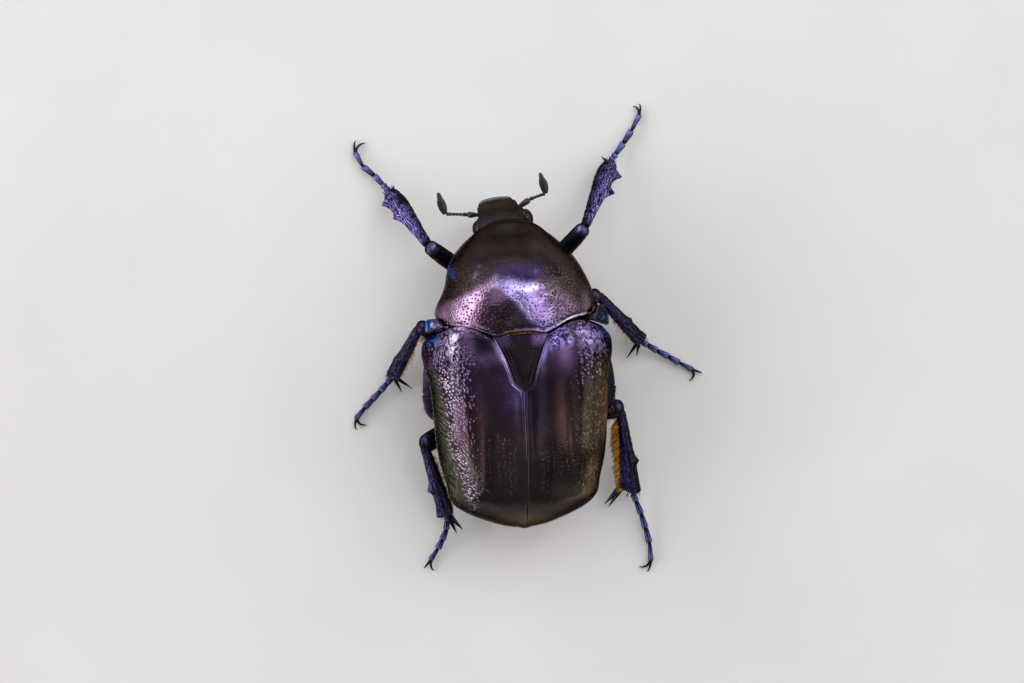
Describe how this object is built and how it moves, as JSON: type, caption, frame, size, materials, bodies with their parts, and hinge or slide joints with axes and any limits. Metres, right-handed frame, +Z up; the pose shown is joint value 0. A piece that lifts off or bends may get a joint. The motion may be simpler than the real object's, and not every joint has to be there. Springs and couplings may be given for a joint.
{
  "type": "flower chafer beetle",
  "caption": "Large metallic violet flower chafer standing still on its feet, domed wing cases closed, head low, clubbed feelers spread.",
  "frame": {"origin": "middle of the bounding box's footprint, on the floor under the feet", "axes": "+Z up from the floor, head towards -Y and tail towards +Y, the beetle's left side towards +X"},
  "size_m": [0.0284, 0.0378, 0.0109],
  "materials": {
    "abdomen": "glossy dark violet-brown cuticle",
    "antenna_club_left": "satin grey-black cuticle",
    "antenna_club_right": "satin grey-black cuticle",
    "antenna_stalk_left": "satin grey-black cuticle",
    "antenna_stalk_right": "satin grey-black cuticle",
    "elytron_left": "glossy metallic violet cuticle",
    "elytron_right": "glossy metallic violet cuticle",
    "eye_left": "glossy black lens",
    "eye_right": "glossy black lens",
    "femur_front_left": "glossy blue-violet black cuticle",
    "femur_front_right": "glossy blue-violet black cuticle",
    "femur_hind_left": "glossy blue-violet black cuticle",
    "femur_hind_right": "glossy blue-violet black cuticle",
    "femur_middle_left": "glossy blue-violet black cuticle",
    "femur_middle_right": "glossy blue-violet black cuticle",
    "head": "glossy dark violet-brown cuticle",
    "prothorax": "glossy metallic violet cuticle",
    "scutellum": "glossy metallic violet cuticle",
    "shoulder_plate_left": "glossy metallic violet cuticle",
    "shoulder_plate_right": "glossy metallic violet cuticle",
    "tarsus_front_left": "glossy blue-violet black cuticle",
    "tarsus_front_right": "glossy blue-violet black cuticle",
    "tarsus_hind_left": "glossy blue-violet black cuticle",
    "tarsus_hind_right": "glossy blue-violet black cuticle",
    "tarsus_middle_left": "glossy blue-violet black cuticle",
    "tarsus_middle_right": "glossy blue-violet black cuticle",
    "thorax": "glossy dark violet-brown cuticle",
    "tibia_front_left": "glossy blue-violet black cuticle",
    "tibia_front_right": "glossy blue-violet black cuticle",
    "tibia_hind_left": "glossy blue-violet black cuticle",
    "tibia_hind_right": "glossy blue-violet black cuticle",
    "tibia_middle_left": "glossy blue-violet black cuticle",
    "tibia_middle_right": "glossy blue-violet black cuticle"
  },
  "bodies": {
    "root": {"abdomen": "abdomen", "antenna_club_left": "antenna_club_left", "antenna_club_right": "antenna_club_right", "antenna_stalk_left": "antenna_stalk_left", "antenna_stalk_right": "antenna_stalk_right", "elytron_left": "elytron_left", "elytron_right": "elytron_right", "eye_left": "eye_left", "eye_right": "eye_right", "femur_front_left": "femur_front_left", "femur_front_right": "femur_front_right", "femur_hind_left": "femur_hind_left", "femur_hind_right": "femur_hind_right", "femur_middle_left": "femur_middle_left", "femur_middle_right": "femur_middle_right", "head": "head", "prothorax": "prothorax", "scutellum": "scutellum", "shoulder_plate_left": "shoulder_plate_left", "shoulder_plate_right": "shoulder_plate_right", "tarsus_front_left": "tarsus_front_left", "tarsus_front_right": "tarsus_front_right", "tarsus_hind_left": "tarsus_hind_left", "tarsus_hind_right": "tarsus_hind_right", "tarsus_middle_left": "tarsus_middle_left", "tarsus_middle_right": "tarsus_middle_right", "thorax": "thorax", "tibia_front_left": "tibia_front_left", "tibia_front_right": "tibia_front_right", "tibia_hind_left": "tibia_hind_left", "tibia_hind_right": "tibia_hind_right", "tibia_middle_left": "tibia_middle_left", "tibia_middle_right": "tibia_middle_right"}
  },
  "joints": []
}
